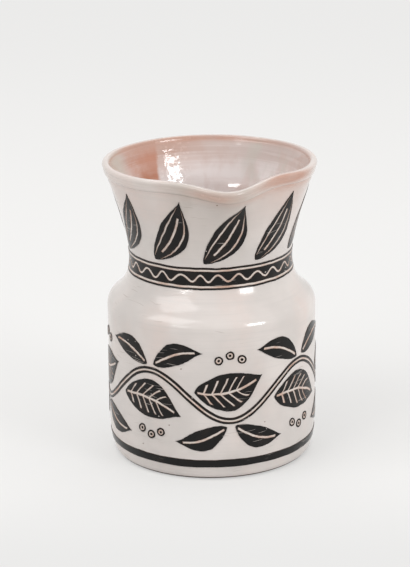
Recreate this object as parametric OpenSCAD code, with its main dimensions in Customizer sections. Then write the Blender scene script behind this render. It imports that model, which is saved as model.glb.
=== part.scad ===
// Wheel-thrown pitcher with a pulled pouring lip, a strap handle and brushed slip ornament.
// It stands on z = 0 with the wheel's axis on Z, the lip towards -Y and the handle towards +Y.

/* [Body] */
// Height of the rim's crest above the table
jug_h = 215; // [205:1:235]
// Diameter of the straight part of the body
body_d = 150; // [144:1:164]
// Thickness of the thrown wall
wall = 5.4; // [4.4:0.1:6.4]
// Height at which the straight part of the body ends
shoulder_z = 110; // [104:1:116]
// Radius of the shoulder's edge
shoulder_round = 12; // [10:0.5:14]
// Height of the waist between body and neck
waist_z = 144; // [138:1:150]
// Diameter of the waist
waist_d = 116; // [108:1:122]

/* [Foot] */
// Diameter of the foot where it stands
foot_d = 138; // [132:1:142]
// Height of the bare foot ring
foot_h = 1.8; // [1.2:0.1:3]
// Width of the bare foot ring
foot_w = 11; // [9:0.5:14]
// Thickness of the floor
floor_t = 7; // [5:0.5:9]
// Height over which the wall swells from the foot to the body
heel_h = 30; // [24:1:34]

/* [Neck and rim] */
// Diameter of the neck at its top, under the rolled rim
neck_d = 147.2; // [140:0.2:154]
// How late the neck opens: low opens early, high opens late
flare_share = 0.8; // [0.4:0.1:1.4]
// Height of the rolled rim
roll_h = 8; // [6:0.5:9]
// Width of the rolled rim
roll_w = 8.4; // [7.4:0.1:9]
// How far the rolled rim stands out from the neck
roll_out = 2.6; // [1.6:0.1:3.2]

/* [Pouring lip] */
// How far the lip is pulled forward
lip_out = 8; // [4:0.5:12]
// How far the lip's edge is pressed down
lip_drop = 4.8; // [1:0.2:6]
// Half of the angle that the lip takes up
lip_arc = 15; // [11:0.5:20]
// How much of the neck, from the waist band to the roll, the pull takes up
lip_share = 0.58; // [0.4:0.02:0.8]
// How far the rim is pinched in on each side of the lip
pinch_in = 2.6; // [0:0.2:4]
// How far the rim rises where it is pinched
pinch_rise = 1; // [0:0.2:2]
// Angle from the lip's middle to each pinch
pinch_az = 33; // [28:1:40]

/* [Handle] */
// Width of the strap at its upper joint
strap_top_w = 31; // [26:1:36]
// Width of the strap at its lower joint
strap_foot_w = 25; // [21:1:30]
// Thickness of the strap
strap_t = 9; // [7:0.5:11]
// How far up the neck, from the waist to the roll, the upper joint sits
strap_top_share = 0.68; // [0.6:0.02:0.72]
// Height of the lower joint below the shoulder
strap_fall = 16; // [12:1:24]
// Distance from the jug's axis to the middle of the strap's back
strap_reach = 111; // [104:1:118]
// How far the strap rises above its upper joint as it leaves the neck
strap_rise = 12; // [4:1:18]
// How far above its lower joint the strap turns in
strap_sweep = 24; // [14:1:32]
// Thickness of the clay worked round each joint
luting_t = 2.6; // [1.6:0.2:3.6]
// How far along the strap the worked clay reaches from the wall
luting_l = 16; // [12:0.5:20]

/* [Slip ornament] */
// Thickness of the brushed slip
slip_t = 0.4; // [0.3:0.05:0.6]
// Height of the band that runs round the heel
heel_band_h = 6; // [3:0.5:7]
// Height of the heel band above the table
heel_band_z = 10; // [6:0.5:11]
// Height of the band that runs round the waist
waist_band_h = 16; // [12:0.5:18]
// Number of waves in the vine
vine_waves = 4; // [3:1:4]
// Height of the vine's middle above the heel band
vine_rise = 46; // [44:1:48]
// How far the vine swings up and down
vine_swing = 17; // [15:0.5:18]
// Width of the vine's stem
stem_w = 5; // [3:0.2:5.4]
// Length of a large vine leaf
leaf_l = 50; // [40:1:52]
// Width of a large vine leaf
leaf_w = 28; // [18:0.5:29]
// Length of a small vine leaf
side_leaf_l = 38; // [28:1:40]
// Width of a small vine leaf
side_leaf_w = 16; // [10:0.5:17]
// Diameter of a berry
berry_d = 6.4; // [4:0.2:7]
// Gap between the tip of a neck leaf and the rolled rim
neck_leaf_gap = 6; // [3:0.5:14]
// How wide a neck leaf is for its length
neck_leaf_w_share = 0.4; // [0.26:0.02:0.42]
// Number of places for leaves round the neck, one of which the handle takes
neck_leaves_n = 10; // [8:1:10]

/* [Hidden] */
$fn = 96;

glaze_white = "#D9D3CC";
slip_black = "#2B2927";
clay_bare = "#B98E72";

// Directions of the lip and the handle, as angles from +X
lip_az = 270;
handle_az = 90;

body_r = body_d / 2;
foot_r = foot_d / 2;
waist_r = waist_d / 2;
neck_r = neck_d / 2;
neck_top = jug_h - roll_h;
waist_band_top = waist_z + waist_band_h / 2;
lip_z = neck_top - lip_share * (neck_top - waist_band_top);
// Width of each pinch, as an angle
pinch_arc = 14;
// How far a cutting shape runs past what it cuts
overrun = 1;
// Space between the slip's flat facets and the round wall behind them
slip_gap = 0.12;
// The slip's two faces, as insets from the outside of the wall
slip_back = -slip_gap;
slip_front = slip_back - slip_t;

// Steps round the jug, up the neck, round the roll, along the strap and round the strap
around_n = 80;
heel_n = 8;
arc_n = 6;
neck_n = 10;
roll_n = 11;
strap_n = 24;
strap_side_n = 16;
stem_n = 30 * vine_waves;
leaf_n = 10;

// The shoulder is two arcs that meet: the rounded edge, then the hollow that runs into the waist
shoulder_in = body_r - waist_r;
shoulder_up = waist_z - shoulder_z;
shoulder_turn = 2 * atan(shoulder_in / shoulder_up);
hollow_round = (shoulder_in * shoulder_in + shoulder_up * shoulder_up) / (2 * shoulder_in) - shoulder_round;

function climb(low, high, steps) = [for (i = [0 : steps]) low + (high - low) * i / steps];
function bell(angle, width) = exp(-pow(angle / width, 2));
function wrapped(angle) = angle - 360 * floor((angle + 180) / 360);
function arc_angle(length, radius) = length / radius * 180 / PI;

// Height at which the two shoulder arcs meet, on a surface set in from the outside of the wall
function meet_z(inset) = shoulder_z + (shoulder_round - inset) * sin(shoulder_turn);

// Radii of the heel, the shoulder's two arcs and the neck at a height
function heel_r(z) = foot_r + (body_r - foot_r) * sqrt(1 - pow(1 - z / heel_h, 2));
function edge_r(z, inset) =
    body_r - shoulder_round + sqrt(pow(shoulder_round - inset, 2) - pow(z - shoulder_z, 2));
function hollow_r(z, inset) =
    waist_r + hollow_round - sqrt(pow(hollow_round + inset, 2) - pow(waist_z - z, 2));
function flare(t) = t * t * (1 + flare_share) / (t + flare_share);
function neck_r_at(z) = waist_r + (neck_r - waist_r) * flare((z - waist_z) / (neck_top - waist_z));

// Radius of the thrown wall at a height, on a surface set in from its outside
function wall_r(z, inset) =
    z < heel_h ? heel_r(z) - inset
    : z <= shoulder_z ? body_r - inset
    : z < meet_z(inset) ? edge_r(z, inset)
    : z < waist_z ? hollow_r(z, inset)
    : neck_r_at(z) - inset;

// The lip pushes the neck outwards and down near its direction, and the pinches draw it in beside that
function pinches(turn) = bell(turn - pinch_az, pinch_arc) + bell(turn + pinch_az, pinch_arc);
function lip_push(turn) = lip_out * bell(turn, lip_arc) - pinch_in * pinches(turn);
function lip_sink(turn) = lip_drop * bell(turn, lip_arc) - pinch_rise * pinches(turn);
function lip_fade(z) = pow(max(0, (z - lip_z) / (neck_top - lip_z)), 2);

// A point in the direction az, from its radius and height
function spot(az, r, z) = [r * cos(az), r * sin(az), z];

// A point of the wall's surface, with the lip's pull in it
function wall_point(az, z, inset) =
    let (turn = wrapped(az - lip_az), pull = lip_fade(z))
    spot(az, wall_r(z, inset) + lip_push(turn) * pull, z - lip_sink(turn) * pull);

// Outlines of the body and of the shoulder on one side of the wall's thickness
function body_line(inset) =
    [for (z = concat(climb(foot_h, heel_h, heel_n), [shoulder_z])) [wall_r(z, inset), z]];
function shoulder_line(inset) =
    let (heights = concat(climb(shoulder_z, meet_z(inset), arc_n), climb(meet_z(inset), waist_z, arc_n)))
    [for (z = heights) [wall_r(z, inset), z]];

function backwards(list) = [for (i = [len(list) - 1 : -1 : 0]) list[i]];

// A solid through rings of points, closed on itself or with a fan over each end.
// Seen along the way that the rings follow each other, each ring runs anticlockwise.
module loft(rings, closed) {
    n = len(rings);
    m = len(rings[0]);
    sides = [for (i = [0 : n - (closed ? 1 : 2)], j = [0 : m - 1])
        let (a = i * m + j, b = i * m + (j + 1) % m, up = (i + 1) % n * m)
        each [[a, b, up + j], [b, up + (j + 1) % m, up + j]]];
    ends = [for (j = [1 : m - 2]) each [[0, j + 1, j], [(n - 1) * m, (n - 1) * m + j, (n - 1) * m + j + 1]]];
    polyhedron([for (ring = rings) each ring], closed ? sides : concat(sides, ends));
}

// The space inside the outer surface of the neck, and of the body
module neck_core() {
    loft([for (z = climb(waist_z, neck_top, neck_n))
        [for (i = [0 : around_n - 1]) wall_point(-360 * i / around_n, z, 0)]], false);
}

module body_core() {
    rotate_extrude()
        polygon(concat([[0, waist_z], [0, foot_h]], body_line(0), shoulder_line(0)));
}

module foot_ring() {
    color(clay_bare)
        rotate_extrude()
            polygon([[foot_r - foot_w, 0], [foot_r, 0], [heel_r(foot_h), foot_h], [foot_r - foot_w, foot_h]]);
}

module floor() {
    floor_top = foot_h + floor_t;
    edge = [for (z = climb(foot_h, floor_top, heel_n)) [wall_r(z, wall), z]];
    color(glaze_white)
        rotate_extrude()
            polygon(concat([[0, floor_top], [0, foot_h]], edge));
}

module body_wall() {
    color(glaze_white)
        rotate_extrude()
            polygon(concat(body_line(0), backwards(body_line(wall))));
}

module shoulder() {
    color(glaze_white)
        rotate_extrude()
            polygon(concat(shoulder_line(0), backwards(shoulder_line(wall))));
}

module neck() {
    heights = climb(waist_z, neck_top, neck_n);
    color(glaze_white)
        loft([for (i = [0 : around_n - 1])
            let (az = 360 * i / around_n)
            concat(
                [for (z = heights) wall_point(az, z, 0)],
                [for (z = backwards(heights)) wall_point(az, z, wall)])], true);
}

// The roll is an ellipse with the lowest share of its height cut off flat, where it sits on the neck
roll_cut_share = 0.17;
roll_half = roll_w / 2;
roll_rise = roll_h / (2 - 2 * roll_cut_share);
roll_mid_z = roll_h - roll_rise;
roll_start = -asin(roll_mid_z / roll_rise);

module rim() {
    angles = climb(roll_start, 180 - roll_start, roll_n);
    color(glaze_white)
        loft([for (i = [0 : around_n - 1])
            let (az = 360 * i / around_n, turn = wrapped(az - lip_az), middle = neck_r + roll_out - roll_half)
            [for (a = angles) spot(az, middle + lip_push(turn) + roll_half * cos(a),
                neck_top - lip_sink(turn) + roll_mid_z + roll_rise * sin(a))]], true);
}

// The strap follows one cubic curve in the YZ plane, from inside the neck's wall to inside the body's.
// Its ends are buried by half of the strap and the clay on it, so that the slanted section meets the wall.
strap_bury = strap_t / 2 + luting_t;
strap_top_z = waist_z + strap_top_share * (neck_top - waist_z);
strap_foot_z = shoulder_z - strap_fall;
strap_top_y = wall_r(strap_top_z, strap_bury);
strap_foot_y = wall_r(strap_foot_z, strap_bury);
strap_pull_y = (8 * strap_reach - strap_top_y - strap_foot_y) / 6;
strap_curve = [[strap_top_y, strap_top_z], [strap_pull_y, strap_top_z + strap_rise],
    [strap_pull_y, strap_foot_z + strap_sweep], [strap_foot_y, strap_foot_z]];
// How square the strap's section is: 1 is an oval, less is squarer
strap_square_share = 0.75;

function strap_at(t) = pow(1 - t, 3) * strap_curve[0] + 3 * t * pow(1 - t, 2) * strap_curve[1]
    + 3 * t * t * (1 - t) * strap_curve[2] + pow(t, 3) * strap_curve[3];
function strap_way(t) = pow(1 - t, 2) * (strap_curve[1] - strap_curve[0])
    + 2 * t * (1 - t) * (strap_curve[2] - strap_curve[1]) + t * t * (strap_curve[3] - strap_curve[2]);
function squared(x) = sign(x) * pow(abs(x), strap_square_share);

// A ring round the strap, swollen by a thickness of clay
function strap_ring(t, swell) =
    let (middle = strap_at(t), way = strap_way(t) / norm(strap_way(t)),
        half_w = (strap_top_w + (strap_foot_w - strap_top_w) * t) / 2 + swell, half_t = strap_t / 2 + swell)
    [for (j = [0 : strap_side_n - 1])
        let (a = 360 * j / strap_side_n, lift = half_t * squared(sin(a)))
        [half_w * squared(cos(a)), middle[0] - way[1] * lift, middle[1] + way[0] * lift]];

module strap() {
    loft([for (t = climb(0, 1, strap_n)) strap_ring(t, 0)], false);
}

module handle() {
    color(glaze_white)
        difference() {
            strap();
            neck_core();
            body_core();
        }
}

// Clay worked round a joint: thick at the wall and feathered out along the strap
luting_n = 6;
luting_edge = 0.4;

// The stretch of the strap's curve that the clay takes up at an end, from the curve's pace there
function luting_share(end) = (strap_bury + luting_l) / (3 * norm(strap_way(end)));

module luting(end, feather_t) {
    difference() {
        loft([for (t = climb(min(end, feather_t), max(end, feather_t), luting_n))
            let (swell_share = pow((t - feather_t) / (end - feather_t), 2))
            strap_ring(t, luting_edge + (luting_t - luting_edge) * swell_share)], false);
        strap();
        neck_core();
        body_core();
    }
}

module handle_top_luting() {
    color(glaze_white)
        luting(0, luting_share(0));
}

module handle_foot_luting() {
    color(glaze_white)
        luting(1, 1 - luting_share(1));
}

// A slip band between two heights
band_n = 6;

module slip_band(low, high) {
    heights = climb(low, high, band_n);
    color(slip_black)
        rotate_extrude()
            polygon(concat(
                [for (z = heights) [wall_r(z, slip_front), z]],
                [for (z = backwards(heights)) [wall_r(z, slip_back), z]]));
}

module heel_band() {
    slip_band(heel_band_z, heel_band_z + heel_band_h);
}

module waist_band() {
    slip_band(waist_z - waist_band_h / 2, waist_band_top);
}

// The vine is lowest under the handle and under the lip
vine_z = heel_band_z + heel_band_h + vine_rise;
half_wave = 180 / vine_waves;

function vine_phase(az) = vine_waves * (az - handle_az) - 90;
function vine_z_at(az) = vine_z + vine_swing * sin(vine_phase(az));
function vine_slope(az) = vine_swing * vine_waves / body_r * cos(vine_phase(az));

module vine_stem() {
    color(slip_black)
        loft([for (i = [0 : stem_n - 1])
            let (az = 360 * i / stem_n, half = stem_w / 2 * sqrt(1 + pow(vine_slope(az), 2)),
                low = vine_z_at(az) - half, high = vine_z_at(az) + half)
            [wall_point(az, high, slip_back), wall_point(az, low, slip_back),
                wall_point(az, low, slip_front), wall_point(az, high, slip_front)]], true);
}

// Half-width of a leaf along its length, as a share of its widest half
leaf_blunt_share = 0.9;
leaf_tip_share = 0.05;
wide_cross_shares = [-1, -0.5, 0, 0.5, 1];
slim_cross_shares = [-1, 0, 1];

function leaf_share(t) = max(leaf_tip_share, pow(sin(180 * t), leaf_blunt_share));

// A point of a leaf that starts at (az, z), leans at tilt and bows sideways by bow
function leaf_point(az, z, length, width, tilt, bow, t, cross_share, inset) =
    let (x = length * t, y = bow * sin(180 * t) + width / 2 * leaf_share(t) * cross_share,
        across = x * cos(tilt) - y * sin(tilt), up = x * sin(tilt) + y * cos(tilt))
    wall_point(az + arc_angle(across, wall_r(z + up, 0)), z + up, inset);
function leaf_row(az, z, length, width, tilt, bow, t, cross_shares, inset) =
    [for (c = cross_shares) leaf_point(az, z, length, width, tilt, bow, t, c, inset)];

module slip_leaf(az, z, length, width, tilt, bow, cross_shares) {
    color(slip_black)
        loft([for (t = climb(0, 1, leaf_n))
            concat(
                leaf_row(az, z, length, width, tilt, bow, t, cross_shares, slip_front),
                leaf_row(az, z, length, width, tilt, bow, t, backwards(cross_shares), slip_back))], false);
}

// A large leaf lies in each hollow of the vine, but the handle takes the one above it.
// The hollows are above the stem on even turns and below it on odd ones.
leaf_start = 4;
leaf_tilt = 12;
leaf_bow = 5;

module vine_leaves() {
    for (k = [1 : 2 * vine_waves - 1]) {
        side = k % 2 == 0 ? 1 : -1;
        az = handle_az + half_wave * (k - 0.5) + arc_angle(leaf_start, body_r);
        slip_leaf(az, vine_z + side * leaf_start, leaf_l, leaf_w, side * leaf_tilt, -side * leaf_bow,
            wide_cross_shares);
    }
}

// Two small leaves spread from the back of each bend
side_leaf_start = 3;
side_leaf_gap = 2;
side_leaf_tilt = 18;
side_leaf_bow = 4;

module vine_side_leaves() {
    for (k = [0 : 2 * vine_waves - 1], way = [-1, 1]) {
        side = k % 2 == 0 ? -1 : 1;
        az = handle_az + half_wave * k + way * arc_angle(side_leaf_start, body_r);
        z = vine_z + side * (vine_swing + stem_w / 2 + side_leaf_gap);
        tilt = way > 0 ? side * side_leaf_tilt : 180 - side * side_leaf_tilt;
        slip_leaf(az, z, side_leaf_l, side_leaf_w, tilt, way * side * side_leaf_bow, slim_cross_shares);
    }
}

// Three berries stand over each large leaf, away from the stem
berry_rise = 31;
berry_step = 8;

module vine_berries() {
    shell_r = body_r + slip_t;
    color(slip_black)
        intersection() {
            difference() {
                cylinder(h = shoulder_z, r = shell_r);
                translate([0, 0, -overrun])
                    cylinder(h = shoulder_z + 2 * overrun, r = body_r);
            }
            for (k = [1 : 2 * vine_waves - 1], i = [-1 : 1]) {
                side = k % 2 == 0 ? 1 : -1;
                az = handle_az + half_wave * k + arc_angle(i * berry_step, body_r);
                translate([0, 0, vine_z + side * (berry_rise - abs(i) * berry_d / 2)])
                    rotate([0, 90, az])
                        cylinder(h = shell_r + overrun, d = berry_d);
            }
        }
}

// The neck's leaves lean one way, evenly spaced, and leave the handle's place free
neck_leaf_tilt = 58;
neck_leaf_bow_share = 0.09;
neck_leaf_lift = 3;
neck_leaf_z = waist_band_top + neck_leaf_lift;
neck_leaf_l = (neck_top - neck_leaf_gap - neck_leaf_z) / sin(neck_leaf_tilt);
neck_leaf_w = neck_leaf_w_share * neck_leaf_l;
neck_leaf_bow = -neck_leaf_bow_share * neck_leaf_l;

module neck_leaves() {
    lead = arc_angle(neck_leaf_l * cos(neck_leaf_tilt) / 2, waist_r);
    for (k = [1 : neck_leaves_n - 1]) {
        az = handle_az + 360 * k / neck_leaves_n - lead;
        slip_leaf(az, neck_leaf_z, neck_leaf_l, neck_leaf_w, neck_leaf_tilt, neck_leaf_bow,
            wide_cross_shares);
    }
}

foot_ring();
floor();
body_wall();
shoulder();
neck();
rim();
handle();
handle_top_luting();
handle_foot_luting();
heel_band();
vine_stem();
vine_leaves();
vine_side_leaves();
vine_berries();
waist_band();
neck_leaves();
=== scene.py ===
from math import atan, atan2, ceil, copysign, cos, degrees, exp, hypot, pi, radians, sin, sqrt, tau

import bmesh
import bpy
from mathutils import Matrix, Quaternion, Vector, noise


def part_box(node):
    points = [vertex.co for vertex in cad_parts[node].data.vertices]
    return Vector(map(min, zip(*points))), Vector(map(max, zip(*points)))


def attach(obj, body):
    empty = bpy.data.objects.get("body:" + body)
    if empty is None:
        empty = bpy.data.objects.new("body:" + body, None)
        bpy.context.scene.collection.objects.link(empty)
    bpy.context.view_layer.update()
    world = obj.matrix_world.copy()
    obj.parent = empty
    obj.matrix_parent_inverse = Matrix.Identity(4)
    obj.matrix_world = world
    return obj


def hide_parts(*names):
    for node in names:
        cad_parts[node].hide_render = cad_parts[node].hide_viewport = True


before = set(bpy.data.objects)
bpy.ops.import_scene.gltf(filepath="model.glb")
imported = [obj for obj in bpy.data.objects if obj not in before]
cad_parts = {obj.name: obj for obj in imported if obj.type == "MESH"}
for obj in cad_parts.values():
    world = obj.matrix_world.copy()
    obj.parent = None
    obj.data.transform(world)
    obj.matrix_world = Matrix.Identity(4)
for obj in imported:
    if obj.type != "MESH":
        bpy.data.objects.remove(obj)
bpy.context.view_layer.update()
print("frame loaded,", len(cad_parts), "clay and slip nodes")

# sizes in metres, angles in degrees turned to radians where they are read
pot = {
    "turns": 192,  # steps round the wheel
    "footRadius": 0.069, "footWidth": 0.011,
    "footHeight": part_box("foot_ring")[1].z,
    "floorTop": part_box("floor")[1].z,
    "heelTop": 0.030,
    "bodyRadius": 0.075,
    "shoulderZ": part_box("body_wall")[1].z,
    "shoulderRound": 0.012,
    "waistZ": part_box("shoulder")[1].z,
    "waistRadius": 0.058,
    "neckTop": 0.207, "neckRadius": 0.0736, "lateFlare": 0.8,
    "wall": 0.0054,
    "sharp": 42,  # edges that turn more than this stay sharp
}
lip = {
    "facing": 270,
    "start": 0.1751,  # height at which the pull begins
    "out": 0.008, "drop": 0.0038,
    "arc": 15, "leftArc": 15.5,  # a little longer on the left
    "pinchIn": 0.0026, "pinchRise": 0.001, "pinchAngle": 33, "pinchArc": 14,
    "leftPinch": 0.65,  # and pinched less there
}
hand = {
    "sway": 0.00022,  # slow unevenness of the wall
    "rings": 0.000018, "ringPitch": 0.0066, "ringWander": 2.2,  # finger rings left by throwing
    "rimSway": 0.0005,
    "brush": 0.00032, "brushGrain": 0.008,  # unsteadiness of painted edges
    "leafStray": 1.5,  # leaves stray more than bands do
}

shoulderIn = pot["bodyRadius"] - pot["waistRadius"]
shoulderUp = pot["waistZ"] - pot["shoulderZ"]
shoulderTurn = 2 * atan(shoulderIn / shoulderUp)
hollowRound = (shoulderIn ** 2 + shoulderUp ** 2) / (2 * shoulderIn) - pot["shoulderRound"]


def bell(distance, width):
    return exp(-(distance / width) ** 2)


def clamp(value):
    return min(1, max(0, value))


def spread(low, high, steps):
    return [low + (high - low) * i / steps for i in range(steps + 1)]


def wallRadius(z, lift=0.0):
    if z < pot["heelTop"]:
        rise = 1 - max(z, 0) / pot["heelTop"]
        swell = sqrt(1 - rise * rise)
        return pot["footRadius"] + (pot["bodyRadius"] - pot["footRadius"]) * swell + lift
    if z <= pot["shoulderZ"]:
        return pot["bodyRadius"] + lift
    edge = pot["shoulderRound"] + lift
    if z < pot["shoulderZ"] + edge * sin(shoulderTurn):
        return pot["bodyRadius"] - pot["shoulderRound"] + sqrt(edge ** 2 - (z - pot["shoulderZ"]) ** 2)
    if z < pot["waistZ"]:
        hollow = hollowRound - lift
        return pot["waistRadius"] + hollowRound - sqrt(hollow ** 2 - (pot["waistZ"] - z) ** 2)
    t = (z - pot["waistZ"]) / (pot["neckTop"] - pot["waistZ"])
    late = pot["lateFlare"]
    flare = (pot["neckRadius"] - pot["waistRadius"]) * t * t * (1 + late) / (t + late)
    return pot["waistRadius"] + flare + lift


# a place on the round pot, after the lip is pulled and with the hand's unevenness
def pulled(az, radius, z):
    turn = (az - radians(lip["facing"]) + pi) % tau - pi
    tongue = bell(turn, radians(lip["arc"] if turn > 0 else lip["leftArc"]))
    pinchAngle, pinchArc = radians(lip["pinchAngle"]), radians(lip["pinchArc"])
    pinch = bell(turn - pinchAngle, pinchArc) + lip["leftPinch"] * bell(turn + pinchAngle, pinchArc)
    fade = clamp((z - lip["start"]) / (pot["neckTop"] - lip["start"])) ** 2
    around = Vector((cos(az), sin(az), 0))
    steady = clamp(z / pot["heelTop"])
    slow = noise.noise(around * 1.2 + Vector((3.1, 0.7, z * 16)))
    wander = hand["ringWander"] * noise.noise(around * 0.8 + Vector((0, 5.2, z * 30)))
    ringTurn = tau * z / hand["ringPitch"] + wander
    radius += (lip["out"] * tongue - lip["pinchIn"] * pinch) * fade
    radius += steady * (hand["sway"] * slow + hand["rings"] * sin(ringTurn))
    z -= (lip["drop"] * tongue - lip["pinchRise"] * pinch) * fade
    z += fade * hand["rimSway"] * noise.noise(around * 1.4 + Vector((8.3, 2.9, 0)))
    return Vector((radius * around.x, radius * around.y, z))


def pullAll(piece):
    for vertex in piece.data.vertices:
        x, y, z = vertex.co
        vertex.co = pulled(atan2(y, x), hypot(x, y), z)


# a smooth line through a few given points
def smoothLine(points, steps):
    line = []
    for i in range(len(points) - 1):
        a, b, c, d = (Vector(points[max(0, min(len(points) - 1, i + k))]) for k in (-1, 0, 1, 2))
        for j in range(steps):
            t = j / steps
            line.append((b * 2 + (c - a) * t + (a * 2 - b * 5 + c * 4 - d) * t ** 2
                         + (b * 3 - a - c * 3 + d) * t ** 3) / 2)
    return [tuple(p) for p in line] + [tuple(points[-1])]


def pick(piece):
    bpy.ops.object.select_all(action="DESELECT")
    piece.select_set(True)
    bpy.context.view_layer.objects.active = piece


def nameNew(name):
    piece = bpy.context.active_object
    piece.name = piece.data.name = name
    return piece


def editAll():
    bpy.ops.object.mode_set(mode="EDIT")
    bpy.ops.mesh.select_all(action="SELECT")


def endEdit():
    bpy.ops.object.mode_set(mode="OBJECT")


def extrudeUp(height):
    bpy.ops.mesh.extrude_region_move(TRANSFORM_OT_translate={"value": (0, 0, height)})


# one point drawn along an outline of (radius, height), then spun round the wheel's axis
def turnOnWheel(name, outline, turns):
    bpy.ops.mesh.primitive_plane_add(size=0.01)
    piece = nameNew(name)
    editAll()
    bpy.ops.mesh.merge(type="CENTER")
    bpy.ops.transform.translate(value=(outline[0][0], 0, outline[0][1]))
    for here, there in zip(outline, outline[1:]):
        step = (there[0] - here[0], 0, there[1] - here[1])
        bpy.ops.mesh.extrude_vertices_move(TRANSFORM_OT_translate={"value": step})
    bpy.ops.mesh.select_all(action="SELECT")
    bpy.ops.mesh.remove_doubles(threshold=1e-6)
    bpy.ops.mesh.spin(steps=turns, angle=tau, center=(0, 0, 0), axis=(0, 0, 1))
    bpy.ops.mesh.select_all(action="SELECT")
    bpy.ops.mesh.remove_doubles(threshold=2e-6)
    bpy.ops.mesh.normals_make_consistent(inside=False)
    endEdit()
    return piece


# a number kept on each point, for the finishes to read
def markPoints(piece, name, rule):
    layer = piece.data.attributes.new(name, "FLOAT", "POINT")
    for vertex, value in zip(piece.data.vertices, layer.data):
        x, y, z = vertex.co
        value.value = rule(hypot(x, y), z, degrees(atan2(y, x)) % 360)


# 1 on the inside of the wall
def insideWall(radius, z, az):
    return 1.0 if radius < wallRadius(z, -pot["wall"] / 2) else 0.0


def finishPiece(piece, coat, *nodes):
    finish, slotName = coat
    pick(piece)
    bpy.ops.object.shade_smooth_by_angle(angle=radians(pot["sharp"]))
    piece.data.materials.clear()
    piece.data.materials.append(finish)
    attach(piece, "root")
    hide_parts(*nodes)
    print(piece.name, "done,", len(piece.data.polygons), "faces")


# a piece thrown on the wheel: spun, marked for its finish, and pulled by hand
def throwPiece(name, node, outline, coat, **marks):
    piece = turnOnWheel(name, outline, pot["turns"])
    for mark, rule in marks.items():
        markPoints(piece, mark, rule)
    pullAll(piece)
    finishPiece(piece, coat, node)


# a socket that does sums: each operator adds a Math node, and node() adds any other
class Wire:
    def __init__(self, tree, socket=None):
        self.tree, self.socket = tree, socket

    def node(self, kind, settings, inputs, output=0):
        made = self.tree.nodes.new("ShaderNode" + kind)
        for name, value in settings.items():
            setattr(made, name, value)
        for name, value in inputs.items():
            if isinstance(value, Wire):
                self.tree.links.new(value.socket, made.inputs[name])
            else:
                made.inputs[name].default_value = value
        return Wire(self.tree, made.outputs[output] if made.outputs else None)

    def sum(self, operation, *values):
        return self.node("Math", {"operation": operation}, dict(enumerate(values)))

    def __add__(self, other):
        return self.sum("ADD", self, other)

    def __sub__(self, other):
        return self.sum("SUBTRACT", self, other)

    def __rsub__(self, other):
        return self.sum("SUBTRACT", other, self)

    def __mul__(self, other):
        return self.sum("MULTIPLY", self, other)

    __radd__ = __add__
    __rmul__ = __mul__

    # 0 below low, 1 above high, soft between
    def rise(self, low, high):
        return self.node("MapRange", {"interpolation_type": "SMOOTHSTEP"},
                         {"Value": self, "From Min": low, "From Max": high})

    def mix(self, under, over):
        blend = {"data_type": "RGBA"}
        return self.node("Mix", blend, {"Factor": self, 6: under, 7: over}, 2)

    # a number kept on the points or the faces
    def kept(self, name):
        return self.node("Attribute", {"attribute_name": name}, {}, "Fac")

    def place(self):
        return self.node("TexCoord", {}, {}, "Object")

    # how far this direction goes along another
    def along(self, way):
        return self.node("VectorMath", {"operation": "DOT_PRODUCT"}, {0: self, 1: way}, "Value")


def startFinish(name):
    finish = bpy.data.materials.new(name)
    finish.use_nodes = True
    finish.node_tree.nodes.clear()
    return finish, Wire(finish.node_tree)


def endFinish(wire, inputs):
    gloss = wire.node("BsdfPrincipled", {}, inputs)
    wire.node("OutputMaterial", {}, {"Surface": gloss})


def stretched(coords, x, y, z):
    return coords.node("VectorMath", {"operation": "MULTIPLY"}, {0: coords, 1: (x, y, z)})


def cloud(coords, scale, detail=2.0, rough=0.5):
    inputs = {"Vector": coords, "Scale": scale, "Detail": detail, "Roughness": rough}
    return coords.node("TexNoise", {}, inputs, "Fac")


# short hairline cracks, mostly one way
def hairlines(coords, least):
    bent = coords.node("TexNoise", {}, {"Vector": coords, "Scale": 45, "Detail": 2.0}, "Color")
    bent = bent.node("VectorMath", {"operation": "SCALE"}, {0: bent, "Scale": 0.006})
    bent = bent.node("VectorMath", {"operation": "ADD"}, {0: coords, 1: bent})
    along = bent.node("Mapping", {}, {"Vector": bent, "Rotation": (0.5, 0.35, 0.9), "Scale": (60, 60, 1500)})
    return cloud(along, 1, 0).rise(least, least + 0.03) * cloud(coords, 30, 1).rise(0.56, 0.60)


# 1 close to an angle round the pot, 0 past the width on either side
def nearAngle(az, middle, width):
    return 1 - az.sum("ABSOLUTE", az - middle).rise(width * 0.3, width)


# tiny spots: cells of which only a few hold one
def spots(coords, scale, size, share):
    cell = coords.node("TexVoronoi", {}, {"Vector": coords, "Scale": scale}, "Distance")
    tone = coords.node("TexVoronoi", {}, {"Vector": coords, "Scale": scale}, "Color")
    chosen = tone.node("SeparateColor", {}, {"Color": tone}).rise(1 - share, 1 - share + 0.001)
    return (1 - cell.rise(size * 0.5, size)) * chosen


bareClay = {
    "buff": (0.470, 0.300, 0.215, 1),
    "dark": (0.300, 0.180, 0.125, 1),
    "grog": (0.620, 0.470, 0.370, 1),
    # near-black for the painted contact shadow at the foot's bottom edge
    "contactShadow": (0.060, 0.042, 0.034, 1),
    "tooled": (0.370, 0.225, 0.158, 1),
    "toolPitch": 0.0042,
}


# the fired clay's colour, its mottle and its grain
def rawClay(place):
    mottle = cloud(place, 90, 4, 0.6)
    grog = spots(place, 700, 0.3, 0.3)
    grain = cloud(place, 800, 3) + grog * 0.5
    shade = mottle.rise(0.35, 0.70).mix(bareClay["buff"], bareClay["dark"])
    return (grog * 0.6).mix(shade, bareClay["grog"]), mottle, grain


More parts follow.
